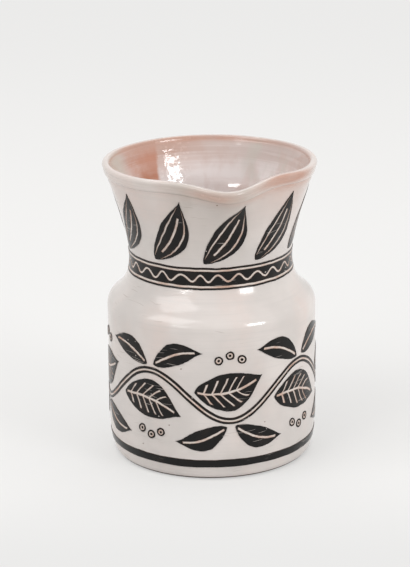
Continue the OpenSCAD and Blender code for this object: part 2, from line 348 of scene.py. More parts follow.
glaze = {
    "white": (0.705, 0.650, 0.620, 1),
    "grey": (0.610, 0.568, 0.542, 1),
    "rose": (0.705, 0.560, 0.508, 1),
    # painted shade for the neck's front
    "frontShade": (0.520, 0.472, 0.432, 1),
    "moss": (0.560, 0.540, 0.480, 1),
    "thinClay": (0.520, 0.310, 0.240, 1),
    # pooled glaze on the roll's face, also its painted shade
    "pooledShade": (0.500, 0.455, 0.395, 1),
    # the lining low down, lightened as painted light against the shade deep inside
    "lining": (0.830, 0.765, 0.750, 1),
    # the lining's top in painted shade, with the glaze's pinkish-brown there
    "liningTopShade": (0.585, 0.485, 0.450, 1),
    "liningRose": (0.540, 0.360, 0.300, 1),
    "flash": (0.500, 0.205, 0.120, 1),
    "pinhole": (0.200, 0.120, 0.080, 1),
    "crack": (0.380, 0.310, 0.270, 1),
    # where the bare flash inside the neck begins, and where it fades out
    "flashFrom": 114.5, "flashTo": 156, "flashLean": 95, "flashLow": 0.178, "flashHigh": 0.2085,
    # middle and width of a side, in degrees round the pot
    "warmSide": (120, 45),  # the pinker side of the lining
    "frontShadeSide": (-98, 36),  # painted shade on the neck's front, on the camera's side
    "mossSide": (40, 26),  # a green cast inside the neck, on the right and on the left
    "mossLeft": (160, 20),
    "rippleSide": (104, 20),  # the lining is most uneven here
    # heights between which a change comes in
    "roseRise": (0.160, 0.198),
    "frontShadeRise": (0.138, 0.186),
    "liningShadeRise": (0.188, 0.208),
    "rippleRise": (0.172, 0.182),
}


def mixGlaze():
    finish, w = startFinish("whiteGlaze")
    place = w.place()
    lining, thin, bare, poolShade = (w.kept(name) for name in ("lining", "thin", "bare", "poolShade"))
    x, y, z = (w.node("SeparateXYZ", {}, {"Vector": place}, axis) for axis in "XYZ")
    az = w.sum("ARCTAN2", y, x) * (180 / pi)

    drift = cloud(place, 22, 3)
    blush = cloud(stretched(place, 1, 1, 0.4), 31, 3)
    high = z.rise(*glaze["roseRise"])
    lines = cloud(stretched(place, 9, 9, 560), 1, 3, 0.6)
    wipes = cloud(stretched(place, 16, 16, 120), 1, 4, 0.6)
    shade = drift.rise(0.35, 0.68).mix(glaze["white"], glaze["grey"])
    shade = (blush.rise(0.48, 0.78) * 0.42 + high * 0.22).mix(shade, glaze["rose"])
    shade = (lines.rise(0.46, 0.74) * 0.42).mix(shade, glaze["grey"])
    # painted shade: the neck's front, on the camera's side, darkened and blotched by the blush noise
    front = nearAngle(az, *glaze["frontShadeSide"]) * z.rise(*glaze["frontShadeRise"])
    shade = (front * (0.44 + blush.rise(0.42, 0.62) * 0.45)).mix(shade, glaze["frontShade"])
    shade = (hairlines(place, 0.74) * 0.45).mix(shade, glaze["crack"])

    # inside: thinner, pinker and wiped in streaks, with one patch where the clay flashes through; lighter
    # low down and darker towards the rim, as painted light and shade
    warm = nearAngle(az, *glaze["warmSide"])
    top = warm.mix(glaze["liningTopShade"], glaze["liningRose"])
    # painted light and shade: the lining lighter low down, darker and browner towards the rim
    inner = (z + (drift - 0.5) * 0.012).rise(*glaze["liningShadeRise"]).mix(glaze["lining"], top)
    inner = (wipes.rise(0.40, 0.76) * 0.34).mix(inner, glaze["liningRose"])
    inner = (lines.rise(0.48, 0.64) * 0.24).mix(inner, glaze["lining"])
    inner = (blush.rise(0.50, 0.74) * 0.24).mix(inner, glaze["liningRose"])
    runs = cloud(stretched(place, 1, 1, 0.25), 90, 2)
    stains = cloud(stretched(place, 1, 1, 0.5), 52, 3, 0.6).rise(0.50, 0.66)
    inner = (stains * 0.30).mix(inner, glaze["liningRose"])
    right = nearAngle(az, *glaze["mossSide"])
    inner = (right * high * runs.rise(0.42, 0.62) * 0.55).mix(inner, glaze["moss"])
    left = nearAngle(az, *glaze["mossLeft"])
    inner = (left * high * 0.75).mix(inner, glaze["moss"])
    ragged = cloud(place, 110, 4, 0.6) - 0.5
    begin, low, peak = glaze["flashFrom"], glaze["flashLow"], glaze["flashHigh"]
    leaned = az - (peak - z) * glaze["flashLean"]
    flash = (leaned + ragged * 5).rise(begin - 1.4, begin + 2.2)
    flash = flash * (1 - (az + ragged * 20).rise(begin + 6, glaze["flashTo"]))
    flash = flash * (z + ragged * 0.020).rise(low - 0.008, low + 0.008)
    flash = flash * (1 - (z + ragged * 0.010).rise(peak - 0.006, peak + 0.005) * 0.75)
    inner = (flash * (0.78 + wipes.rise(0.35, 0.65) * 0.2)).mix(inner, glaze["flash"])
    shade = lining.mix(shade, inner)

    # pooled glaze with painted shade on the rim's face, worn glaze, and pinholes
    shade = (poolShade * (0.15 + lines.rise(0.42, 0.62) * 0.40)).mix(shade, glaze["pooledShade"])
    patchy = cloud(stretched(place, 1, 1, 2.2), 34, 4, 0.6).rise(0.36, 0.66)
    wear = thin * (0.72 + patchy * 0.28)
    shade = wear.mix(shade, glaze["thinClay"])
    pin = spots(place, 120, 0.09, 0.05)
    shade = (pin * 0.8).mix(shade, glaze["pinhole"])

    # the bare underside, turned on the wheel
    clay, _, grain = rawClay(place)
    radius = w.sum("SQRT", x * x + y * y)
    tooling = w.sum("SINE", radius * (tau / bareClay["toolPitch"]) + drift * 9)
    under = (tooling.rise(0.1, 0.9) * 0.6).mix(clay, bareClay["tooled"])
    shade = bare.mix(shade, under)

    # the skin's height, and its gloss
    ripple = cloud(stretched(place, 1, 1, 1.5), 46, 1) * (0.5 - lining * 0.38)
    ripple = ripple + lines * (0.10 - lining * 0.08 + poolShade * 0.08)
    ripple = ripple + cloud(place, 300, 1) * 0.05 * (1 - lining)
    uneven = lining * nearAngle(az, *glaze["rippleSide"]) * z.rise(*glaze["rippleRise"])
    ripple = ripple + uneven * cloud(place, 330, 2) * 0.15
    pitted = uneven * cloud(place, 360, 2).rise(0.57, 0.61)
    ripple = ripple + bare * grain * 0.4
    relief = w.node("Bump", {}, {"Strength": 1.0, "Distance": 0.0006, "Height": ripple - pin * 0.6})
    rough = (0.09 + cloud(place, 90, 2) * 0.09) * (1 - lining * 0.82)
    rough = rough + wear * 0.20 + pitted * 0.35 + bare * 0.5
    endFinish(w, {"Base Color": shade, "Roughness": rough, "Normal": relief, "IOR": 1.58})
    return finish


slip = {
    "black": (0.0052, 0.0047, 0.0045, 1),
    "brown": (0.0170, 0.0125, 0.0105, 1),
    "edge": (0.080, 0.050, 0.036, 1),
    "scratchPale": (0.680, 0.610, 0.565, 1),
    "scratchTan": (0.560, 0.375, 0.295, 1),
    "scratchWall": (0.330, 0.235, 0.190, 1),
    "thick": 0.0004, "groove": 0.00026,
    "slope": 0.00022,  # how far each groove's walls slant
    "step": 0.0012,  # longest step across a band
}


def mixSlip():
    finish, w = startFinish("blackSlip")
    place = w.place()
    scratch, side = w.kept("scratch"), w.kept("side")
    drift = cloud(place, 70, 3)
    shade = drift.rise(0.50, 0.75).mix(slip["black"], slip["brown"])
    nick = spots(place, 230, 0.16, 0.14)
    nick = w.sum("MAXIMUM", nick, hairlines(place, 0.735) * 0.6)
    shade = (nick * 0.75).mix(shade, slip["scratchPale"])
    shade = (side * 0.7).mix(shade, slip["edge"])
    cut = cloud(place, 60, 4, 0.65).rise(0.46, 0.70).mix(slip["scratchPale"], slip["scratchTan"])
    shade = scratch.rise(0.1, 0.4).mix(shade, slip["scratchWall"])
    shade = scratch.rise(0.6, 0.9).mix(shade, cut)
    ripple = cloud(place, 46, 1) * 0.9 + cloud(place, 420, 2) * 0.08
    relief = w.node("Bump", {}, {"Strength": 1.0, "Distance": 0.0005, "Height": ripple - nick * 0.4})
    rough = 0.12 + cloud(place, 120, 2) * 0.10 + scratch * 0.12
    endFinish(w, {"Base Color": shade, "Roughness": rough, "Normal": relief, "IOR": 1.32})
    return finish


def mixClay():
    finish, w = startFinish("bareClay")
    place = w.place()
    shade, mottle, grain = rawClay(place)
    glazed, edge = w.kept("glazed"), w.kept("edge")
    shade = glazed.mix(shade, glaze["white"])
    # painted contact shadow along the foot's bottom edge, over the bare clay
    shade = edge.rise(0.1, 0.75).mix(shade, bareClay["contactShadow"])
    relief = w.node("Bump", {}, {"Strength": 0.8, "Distance": 0.0003, "Height": grain * (1 - glazed)})
    endFinish(w, {"Base Color": shade, "Roughness": 0.7 + mottle * 0.2 - glazed * 0.6, "Normal": relief})
    return finish


# each finish with the name of its slot
white, black, clay = (mixGlaze(), "white_glaze"), (mixSlip(), "black_slip"), (mixClay(), "bare_clay")
print("finishes mixed")


foot = {
    "steps": 6, "edgeRound": 0.0006, "tuck": 0.0002,
    # the last entry is how far up the painted contact shadow on the foot reaches
    "glazeFrom": 0.0013, "glazeFade": 0.0005, "shadowTall": 0.0020,  # glaze stops short of the table
}


def makeFoot():
    inner, outer = pot["footRadius"] - pot["footWidth"], pot["footRadius"]
    top, edge = pot["footHeight"], foot["edgeRound"]
    outline = [(inner, top), (inner, edge), (inner + edge * 0.3, edge * 0.3), (inner + edge, 0)]
    outline += [(outer - edge, 0), (outer - edge * 0.2, edge * 0.25)]
    outline += [(wallRadius(z) - foot["tuck"], z) for z in spread(edge, top, foot["steps"])] + [(inner, top)]
    outside = outer - edge * 0.5

    def glazed(radius, z, az):
        return clamp((z - foot["glazeFrom"]) / foot["glazeFade"]) if radius > outside else 0.0

    # painted contact shadow: strongest at the foot's outer bottom edge, gone higher up
    def contactShadowAt(radius, z, az):
        return bell(z, foot["shadowTall"]) if radius > outside else 0.0

    throwPiece("footRing", "foot_ring", outline, clay, glazed=glazed, edge=contactShadowAt)


base = {
    "fillet": 0.009, "filletSteps": 10, "sideSteps": 8, "innerSteps": 60,
    "ringPitch": 0.0055, "ringRise": 0.00022, "ringCalm": 0.01,  # finger rings inside
    "turnedPitch": 0.0042, "turnedRise": 0.00018, "turnedSteps": 4,  # turning rings beneath
    "sink": 0.0001,
    "skin": 0.001,  # what is this far over the underside is glazed
}


def makeFloor():
    low, high, wall = pot["footHeight"], pot["floorTop"], pot["wall"]
    reach = base["fillet"]
    start = wallRadius(high + reach, -wall) - reach
    rounds = int((pot["footRadius"] - pot["footWidth"]) / base["turnedPitch"])
    outline = []
    for radius in spread(0, rounds * base["turnedPitch"], rounds * base["turnedSteps"]):
        wave = (1 - cos(tau * radius / base["turnedPitch"])) / 2
        outline.append((radius, low + base["turnedRise"] * wave))
    outline.append((wallRadius(low, -wall) + base["sink"], low))
    for z in spread(low, high + reach, base["sideSteps"])[1:]:
        outline.append((wallRadius(z, -wall) + base["sink"], z))
    for angle in spread(0, 90, base["filletSteps"])[1:]:
        a = radians(angle)
        outline.append((start + reach * cos(a), high + reach - reach * sin(a)))
    for radius in spread(start, 0, base["innerSteps"])[1:]:
        calm = clamp(radius / base["ringCalm"])
        ring = base["ringRise"] * sin(tau * radius / base["ringPitch"]) * calm
        outline.append((radius, high + ring))
    glazedFrom = low + base["skin"]

    def inside(radius, z, az):
        return 1.0 if z > glazedFrom else 0.0

    def beneath(radius, z, az):
        return 1.0 - inside(radius, z, az)

    throwPiece("floorDisc", "floor", outline, white, lining=inside, bare=beneath)


body = {
    "heelSteps": 20, "step": 0.0015, "innerStep": 0.004,
    "glazeRoll": 0.00025, "rollZ": 0.0034, "rollWidth": 0.0011,  # glaze gathered above the foot
}


def makeBodyWall():
    low, heelTop, high = pot["footHeight"], pot["heelTop"], pot["shoulderZ"]
    heights = spread(low, heelTop, body["heelSteps"])
    heights += spread(heelTop, high, round((high - heelTop) / body["step"]))[1:]
    outline = []
    for z in heights:
        gathered = body["glazeRoll"] * bell(z - body["rollZ"], body["rollWidth"])
        outline.append((wallRadius(z) + gathered, z))
    for z in spread(high, low, round((high - low) / body["innerStep"])):
        outline.append((wallRadius(z, -pot["wall"]), z))
    throwPiece("bodyWall", "body_wall", outline + outline[:1], white, lining=insideWall)


shoulder = {"steps": 36, "innerSteps": 24}


def makeShoulder():
    low, high = pot["shoulderZ"], pot["waistZ"]
    outline = [(wallRadius(z), z) for z in spread(low, high, shoulder["steps"])]
    outline += [(wallRadius(z, -pot["wall"]), z) for z in spread(high, low, shoulder["innerSteps"])]
    throwPiece("shoulderWall", "shoulder", outline + outline[:1], white, lining=insideWall)


neck = {
    "step": 0.0014,
    "grooveDeep": 0.00025, "grooveWidth": 0.0011,  # the turned groove under the roll
    "ridgeRise": 0.00022, "ridgeDown": 0.0042, "ridgeWidth": 0.0009,  # the faint ridge below that
    "innerRings": 0.000012, "innerPitch": 0.0061, "innerCalm": 0.008,
    "thin": 0.5, "thinTall": 0.005,  # thin glaze under the roll
    "blush": 0.36, "blushAt": 312, "blushWidth": 24, "blushTall": 0.022,  # lower down, on the lip's right
}


def makeNeck():
    low, high, wall = pot["waistZ"], pot["neckTop"], pot["wall"]
    steps = round((high - low) / neck["step"])
    outline = []
    for z in spread(low, high, steps):
        turned = neck["ridgeRise"] * bell(z - high + neck["ridgeDown"], neck["ridgeWidth"])
        turned -= neck["grooveDeep"] * bell(z - high, neck["grooveWidth"])
        outline.append((wallRadius(z) + turned, z))
    for z in spread(high, low, steps):
        calm = clamp((high - z) / neck["innerCalm"])
        fingers = neck["innerRings"] * sin(tau * z / neck["innerPitch"]) * calm
        outline.append((wallRadius(z, -wall) + fingers, z))

    def thinAt(radius, z, az):
        if radius < wallRadius(z, -wall / 2):
            return 0.0
        under = neck["thin"] * warmth(az) * bell(z - high, neck["thinTall"])
        blush = neck["blush"] * bell(az - neck["blushAt"], neck["blushWidth"])
        return under + blush * bell(z - high, neck["blushTall"])

    throwPiece("neckWall", "neck", outline + outline[:1], white, lining=insideWall, thin=thinAt)


# the roll's section in millimetres, out from the neck's outside and up from its top
roll = {
    "section": [(-0.6, -0.6), (0.1, -0.3), (0.75, 0.3), (1.2, 1.1), (1.5, 2.1), (1.75, 3.2), (2.0, 4.3),
                (2.25, 5.2), (2.42, 6.0), (2.36, 6.65), (2.12, 7.2), (1.7, 7.66), (1.15, 8.0), (0.5, 8.24),
                (-0.2, 8.33), (-0.9, 8.3), (-1.6, 8.1), (-2.2, 7.7), (-2.65, 7.1), (-2.95, 6.35),
                (-3.15, 5.6), (-3.5, 4.85), (-4.15, 3.1), (-4.8, 1.5), (-5.35, 0.05), (-5.6, -0.6)],
    "steps": 3,
    "unit": 0.001,
    "ridgeIn": 0.0010, "crestUp": 0.0079,  # where outside turns to inside, and where wear is measured from
    "faceFrom": 0.0002, "faceFade": 0.0005, "liningFade": 0.0016,
    "warmAt": [(300, 46), (95, 64)],  # where the clay shows through most, and how far round
    "coolest": 0.16,
    "innerThin": 1.3, "innerFade": 0.0008, "innerDown": 0.0016, "innerTall": 0.0019,  # along the inner edge
    "wornAt": [(262, 15, 0.0046, 0.75), (306, 20, 0.0028, 1.60)],  # az, width, how far down, how much
    "wornDeep": 0.0042, "wornCrest": 0.45,
    "lineDeep": 0.00007,  # a throwing line that winds once round the outer face
    "linePitch": 0.0021, "lineAt": 0.0032, "lineSpan": 0.0026,
    "poolShade": 0.25, "poolShadeAt": 264, "poolShadeWidth": 20,  # glaze gathered on the face, darkened as painted shade, most of all under the lip
}


# how warm the thin glaze on the roll is, by its place round the pot
def warmth(az):
    most = 0
    for middle, width in roll["warmAt"]:
        most = max(most, bell((az - middle + 180) % 360 - 180, width))
    return roll["coolest"] + (1 - roll["coolest"]) * most


def makeRim():
    unit = roll["unit"]
    section = smoothLine(roll["section"], roll["steps"])
    outline = [(pot["neckRadius"] + out * unit, pot["neckTop"] + up * unit) for out, up in section]
    rim = turnOnWheel("rimRoll", outline + outline[:1], pot["turns"])
    middle, crest = pot["neckRadius"] - roll["ridgeIn"], pot["neckTop"] + roll["crestUp"]

    def faceAt(radius, z):
        return clamp((crest + roll["faceFrom"] - z) / roll["faceFade"]) if radius > middle else 0.0

    def thinAt(radius, z, az):
        worn = 0
        for place, width, under, share in roll["wornAt"]:
            worn = max(worn, share * bell(az - place, width) * bell(z - crest + under, roll["wornDeep"]))
        inside = clamp((middle - radius) / roll["innerFade"])
        inside *= bell(z - crest + roll["innerDown"], roll["innerTall"])
        least = roll["wornCrest"]
        outside = least + (1 - least) * faceAt(radius, z) if radius > middle else 0.0
        return min(1, worn * outside + roll["innerThin"] * inside * warmth(az))

    # pooled glaze and painted shade on the roll's face, strongest under the lip
    def poolShadeAt(radius, z, az):
        least = roll["poolShade"]
        return faceAt(radius, z) * (least + (1 - least) * bell(az - roll["poolShadeAt"], roll["poolShadeWidth"]))

    def liningAt(radius, z, az):
        return clamp((middle - radius) / roll["liningFade"])

    markPoints(rim, "lining", liningAt)
    markPoints(rim, "thin", thinAt)
    markPoints(rim, "poolShade", poolShadeAt)
    for vertex in rim.data.vertices:
        x, y, z = vertex.co
        radius, up = hypot(x, y), z - pot["neckTop"]
        if radius > middle:
            line = sin(tau * up / roll["linePitch"] + atan2(y, x))
            out = 1 + line * roll["lineDeep"] * bell(up - roll["lineAt"], roll["lineSpan"]) / radius
            vertex.co = (x * out, y * out, z)
    pullAll(rim)
    finishPiece(rim, white, "rim")


makeFoot()
makeFloor()
makeBodyWall()
makeShoulder()
makeNeck()
makeRim()


strap = {
    "topWidth": 0.031, "footWidth": 0.025, "thick": 0.009, "square": 0.75,
    "curve": [(0.05967, 0.18684), (0.1267, 0.19884), (0.1267, 0.118), (0.0679, 0.094)],
    "clearTop": 0.2, "clearFoot": 0.8,  # shares of the curve at which it is clear of the wall
    "halvings": 40, "rings": 72, "sides": 48,
    "grooveDeep": 0.0013, "groovePlace": 0.42, "grooveWidth": 0.17,  # two finger grooves down the back
    "sink": 0.0012,  # how far the ends sit in the wall
    "lutingFlare": 0.0046, "lutingEdge": 0.0001, "lutingCurve": 2.4,
    "lutingReach": 0.017, "lutingRings": 16, "lutingSkin": 0.0004,
}


# the way that the strap's curve runs at a place on it
def strapWay(t):
    a, b, c, d = (Vector(p) for p in strap["curve"])
    return (b - a) * (1 - t) ** 2 + (c - b) * 2 * t * (1 - t) + (d - c) * t * t


def strapPace(t):
    return 3 * strapWay(t).length


def strapPoint(t, angle, swell):
    a, b, c, d = (Vector(p) for p in strap["curve"])
    middle = a * (1 - t) ** 3 + b * 3 * t * (1 - t) ** 2 + c * 3 * t * t * (1 - t) + d * t ** 3
    way = strapWay(t).normalized()
    halfWidth = (strap["topWidth"] + (strap["footWidth"] - strap["topWidth"]) * t) / 2 + swell
    across = copysign(abs(cos(angle)) ** strap["square"], cos(angle))
    lift = copysign(abs(sin(angle)) ** strap["square"], sin(angle))
    lift *= strap["thick"] / 2 + swell
    if lift > 0:
        place, width = strap["groovePlace"], strap["grooveWidth"]
        lift -= strap["grooveDeep"] * (bell(across - place, width) + bell(across + place, width))
    return Vector((halfWidth * across, middle.x - way.y * lift, middle.y + way.x * lift))


# where the strap's side at one angle meets the wall, between two places on its curve
def meetWall(angle, swell, inside, outside):
    for _ in range(strap["halvings"]):
        t = (inside + outside) / 2
        point = strapPoint(t, angle, swell)
        if hypot(point.x, point.y) < wallRadius(point.z):
            inside = t
        else:
            outside = t
    return outside


# a straight tube, extruded ring by ring; its height is the way along, from 0 to 1
def drawTube(name, rings):
    bpy.ops.mesh.primitive_circle_add(vertices=strap["sides"], radius=1, fill_type="NOTHING")
    tube = nameNew(name)
    editAll()
    for _ in range(rings):
        extrudeUp(1 / rings)
    return tube


def closeUp(piece):
    pick(piece)
    editAll()
    bpy.ops.mesh.normals_make_consistent(inside=False)
    endEdit()


def makeHandle():
    tube = drawTube("strapHandle", strap["rings"])
    bpy.ops.mesh.select_all(action="SELECT")
    bpy.ops.mesh.fill_holes(sides=0)
    endEdit()
    topSink, footSink = strap["sink"] / strapPace(0), strap["sink"] / strapPace(1)
    for vertex in tube.data.vertices:
        x, y, along = vertex.co
        angle = atan2(y, x)
        first = meetWall(angle, 0, 0, strap["clearTop"]) - topSink
        last = meetWall(angle, 0, 1, strap["clearFoot"]) + footSink
        vertex.co = strapPoint(first + (last - first) * along, angle, 0)
    closeUp(tube)
    finishPiece(tube, white, "handle")


# clay worked round a joint: a flared skirt on the wall that feathers out along the strap
def makeLuting(name, node, end, clear):
    tube = drawTube(name, strap["lutingRings"])
    endEdit()
    flare, edge = strap["lutingFlare"], strap["lutingEdge"]
    way = 1 if clear > end else -1
    for vertex in tube.data.vertices:
        x, y, along = vertex.co
        angle = atan2(y, x)
        onWall = meetWall(angle, flare, end, clear)
        feather = meetWall(angle, 0, end, clear) + way * strap["lutingReach"] / strapPace(end)
        t = onWall + (feather - onWall) * along
        vertex.co = strapPoint(t, angle, edge + (flare - edge) * (1 - along) ** strap["lutingCurve"])
    bpy.ops.object.modifier_add(type="SOLIDIFY")
    thicken = tube.modifiers[-1]
    thicken.thickness = strap["lutingSkin"]
    thicken.offset = -1
    bpy.ops.object.modifier_apply(modifier=thicken.name)
    closeUp(tube)
    finishPiece(tube, white, node)


makeHandle()
makeLuting("upperLuting", "handle_top_luting", 0, strap["clearTop"])
makeLuting("lowerLuting", "handle_foot_luting", 1, strap["clearFoot"])


# marks each face of a slip piece: its edge, or 1 on a groove's floor and half on its slanting walls
def markSlip(piece, liftOf, onEdge):
    scratch = piece.data.attributes.new("scratch", "FLOAT", "FACE")
    side = piece.data.attributes.new("side", "FLOAT", "FACE")
    for face, scratchValue, sideValue in zip(piece.data.polygons, scratch.data, side.data):
        sunk = (slip["thick"] - liftOf(face)) / slip["groove"]
        if onEdge(face):
            sideValue.value = 1.0
        elif 0.1 < sunk < 1.1:
            scratchValue.value = 1.0 if sunk > 0.9 else 0.5


def markFlat(piece):
    markSlip(piece, lambda face: face.center.z, lambda face: abs(face.normal.z) < 0.05)


def slipPoint(az, z, lift):
    return pulled(az, wallRadius(z, lift), z)


# how far the brush strays at a place
def stray(x, y, seed):
    at = Vector((x, y, 0)) / hand["brushGrain"] + Vector((seed * 7.3, seed * 3.7, seed * 1.9))
    aside = at * 2.3 + Vector((31.7, 11.3, 5.1))
    strayX = noise.noise(at) + 0.4 * noise.noise(aside)
    strayY = noise.noise(at + Vector((5.9, 17.2, 3.3))) + 0.4 * noise.noise(aside + Vector((2.1, 8.8, 6.4)))
    fine = noise.noise(at * 5.1 + Vector((1.3, 4.7, 9.9))) * 0.35
    far = hand["brush"] * hand["leafStray"]
    return (strayX + fine) * far, (strayY - fine) * far


# a band's section across its height, with its grooves, spun and then laid on the wall
def spinBand(name, node, band, heightOf):
    thick, deep, slope = slip["thick"], slip["groove"], slip["slope"]
    half, turns = band["half"], band["turns"]
    far = 0.2  # radius of the wheel that it is first spun on
    outline = [(far, -half), (far + thick, -half + slope)]
    for middle, width in band["grooves"]:
        outline += [(far + thick, middle - width / 2 - slope), (far + thick - deep, middle - width / 2),
                    (far + thick - deep, middle + width / 2), (far + thick, middle + width / 2 + slope)]
    outline += [(far + thick, half - slope), (far, half), (far, -half)]
    filled = []
    for here, there in zip(outline, outline[1:]):
        steps = max(1, round((Vector(there) - Vector(here)).length / slip["step"]))
        filled += [tuple(Vector(here).lerp(Vector(there), i / steps)) for i in range(steps)]
    piece = turnOnWheel(name, filled + filled[:1], turns)

    def liftOf(face):
        return hypot(face.center.x, face.center.y) / cos(pi / turns) - far

    markSlip(piece, liftOf, lambda face: abs(face.center.z) > half - slope * 1.01)
    for vertex in piece.data.vertices:
        x, y, height = vertex.co
        az = atan2(y, x)
        vertex.co = slipPoint(az, heightOf(az, height), hypot(x, y) - far)
    closeUp(piece)
    finishPiece(piece, black, node)


# noise that closes on itself round the pot
def roundNoise(az, detail, seed):
    return noise.noise(Vector((cos(az) * detail, sin(az) * detail, seed)))


# how far a band's brushed edges wobble
def wobble(band, az, height):
    total = 0
    for share, detail, start, climb in band["wobble"]:
        total += share * roundNoise(az, detail, start + height * climb)
    return hand["brush"] * total


waist = {
    "turns": 480, "half": 0.008,
    "grooves": [(-0.0058, 0.0011), (0, 0.0010), (0.0058, 0.0011)],  # the middle and width of each
    "waves": 26, "waveRise": 0.0024,
    "phaseStray": 1.3, "riseStray": 0.3,  # early or late, higher or lower
    "core": 0.0009, "coreEdge": 0.0022,  # the middle groove follows the wave, the outer ones don't
    "steepNear": 0.0008, "steepFade": 0.001,  # where the groove is widened on the wave's slopes
    "wobble": [(1.0, 5.0, 0, 60), (0.5, 14.0, 0, 90)],  # share, detail, start and climb in the noise
}


def waistHeight(az, height):
    waves, outerLine = waist["waves"], waist["grooves"][-1][0]
    share = clamp(1 - (abs(height) - waist["core"]) / (outerLine - waist["coreEdge"]))
    phase = waves * az + waist["phaseStray"] * roundNoise(az, 3.0, 4.4)
    swing = waist["waveRise"] * (1 + waist["riseStray"] * roundNoise(az, 6.0, 9.1))
    slope = swing * waves / pot["waistRadius"] * cos(phase)
    near = clamp(1 - (abs(height) - waist["steepNear"]) / waist["steepFade"])
    wide = 1 + (sqrt(1 + slope * slope) - 1) * near
    return pot["waistZ"] + height * wide + swing * sin(phase) * share + wobble(waist, az, height)


heel = {
    "turns": 288, "half": 0.003, "middle": 0.013, "grooves": [],
    "wobble": [(1.4, 4.0, 0, 80), (0.6, 12.0, 0, 90)],
}


def heelHeight(az, height):
    return heel["middle"] + height + wobble(heel, az, height)


vine = {
    "turns": 384, "half": 0.0025, "middle": 0.062, "grooves": [(0, 0.0010)],
    "swing": 0.017, "waves": 4, "handleAz": 90,
    "wobble": [(1.0, 6.0, 2.2, 70), (0.5, 16.0, 0, 90)],
}
halfWave = 180 / vine["waves"]


def stemHeight(az, height):
    phase = vine["waves"] * (az - radians(vine["handleAz"])) - pi / 2
    slope = vine["swing"] * vine["waves"] / pot["bodyRadius"] * cos(phase)
    wave = vine["swing"] * sin(phase)
    return vine["middle"] + wave + height * sqrt(1 + slope * slope) + wobble(vine, az, height)


# what all leaves share; rows and sides are shares of the length and of the half breadth
cut = {
    "stalkRows": [0.0, 0.008, 0.02, 0.04], "rowStep": 0.021, "tipFrom": 0.96, "tipRows": [0.98, 0.992, 1.0],
    "sides": [0.16, 0.34, 0.52, 0.9, 1.0],
    "lineFrom": 0.06, "lineTo": 0.93,  # how far a lined leaf's second line goes
    "ribMost": 0.4,  # the midrib's half width is at most this much of the breadth
    "blunt": 0.02, "early": 0.92, "round": 0.75, "drawn": 0.4,
}


# how broad a leaf is along its length: round at the stalk, drawn out at the tip
def leafBreadth(t):
    if t >= 1:
        return cut["blunt"]
    return max(cut["blunt"], sin(pi * t ** cut["early"]) ** (cut["round"] + cut["drawn"] * t))


# one leaf, flat: x along the midrib, y across, z out of the wall
def cutLeaf(name, leaf):
    length, half, bow = leaf["length"], leaf["width"] / 2, leaf["bow"]
    rows, veinRows = list(cut["stalkRows"]), []

    def rowsUpTo(share):
        steps = max(1, ceil((share - rows[-1]) / cut["rowStep"]))
        rows.extend(spread(rows[-1], share, steps)[1:])

    def rowWithin(row, low, high):
        return low <= rows[row] and rows[row + 1] <= high

    for vein in leaf["veins"]:
        rowsUpTo(vein)
        veinRows.append(len(rows) - 1)
        rows.append(vein + leaf["veinWidth"] / length)
    rowsUpTo(cut["tipFrom"])
    rows += cut["tipRows"]
    inner, outer = leaf["contour"]
    sides = [0.0] + sorted({*cut["sides"], inner, outer})
    shares = [-side for side in reversed(sides)] + sides  # -0 and 0 are the midrib's two edges
    ribColumn = len(sides) - 1

    bpy.ops.mesh.primitive_grid_add(x_subdivisions=len(rows) - 1, y_subdivisions=len(shares) - 1, size=1)
    piece = nameNew(name)
    rowOf = [round((v.co.x + 0.5) * (len(rows) - 1)) for v in piece.data.vertices]
    columnOf = [round((v.co.y + 0.5) * (len(shares) - 1)) for v in piece.data.vertices]
    groove = set()
    for face in piece.data.polygons:
        row = min(rowOf[v] for v in face.vertices)
        column = min(columnOf[v] for v in face.vertices)
        ends = sorted(abs(shares[c]) for c in (column, column + 1))
        onRib = column == ribColumn and rowWithin(row, leaf["ribFrom"], leaf["ribTo"])
        onVein = row in veinRows and ends[1] <= leaf["veinReach"]
        onLine = leaf["lined"] and ends == [inner, outer] and rowWithin(row, cut["lineFrom"], cut["lineTo"])
        if onRib or onVein or onLine:
            groove.add(face.index)
    for vertex, row, column in zip(piece.data.vertices, rowOf, columnOf):
        share = shares[column]
        t = rows[row] + leaf["slant"] * abs(share) * rows[row] * (1 - rows[row])
        breadth = half * leafBreadth(t)
        rib = min(leaf["ribWidth"] / 2, breadth * cut["ribMost"])
        y = copysign(rib + (breadth - rib) * abs(share), share)
        vertex.co = (length * t, bow * sin(pi * t) + y, 0)

    # thicken the flat leaf, then sink the scratched lines into its face
    bpy.ops.object.mode_set(mode="EDIT")
    bm = bmesh.from_edit_mesh(piece.data)
    lines = bm.faces.layers.int.new("lines")
    for face in bm.faces:
        face[lines] = 1 if face.index in groove else 0
    bpy.ops.mesh.select_all(action="SELECT")
    extrudeUp(slip["thick"])
    bm = bmesh.from_edit_mesh(piece.data)
    lines = bm.faces.layers.int["lines"]
    bpy.ops.mesh.select_mode(type="FACE")
    for face in bm.faces:
        face.normal_update()
        onTop = face.calc_center_median().z > slip["thick"] * 0.9
        face.select_set(bool(onTop and face[lines]))
    bm.select_flush_mode()
    bmesh.update_edit_mesh(piece.data)
    bpy.ops.mesh.inset(thickness=slip["slope"], depth=-slip["groove"], use_even_offset=True)
    endEdit()
    markFlat(piece)
    piece.data.attributes.remove(piece.data.attributes["lines"])
    return piece


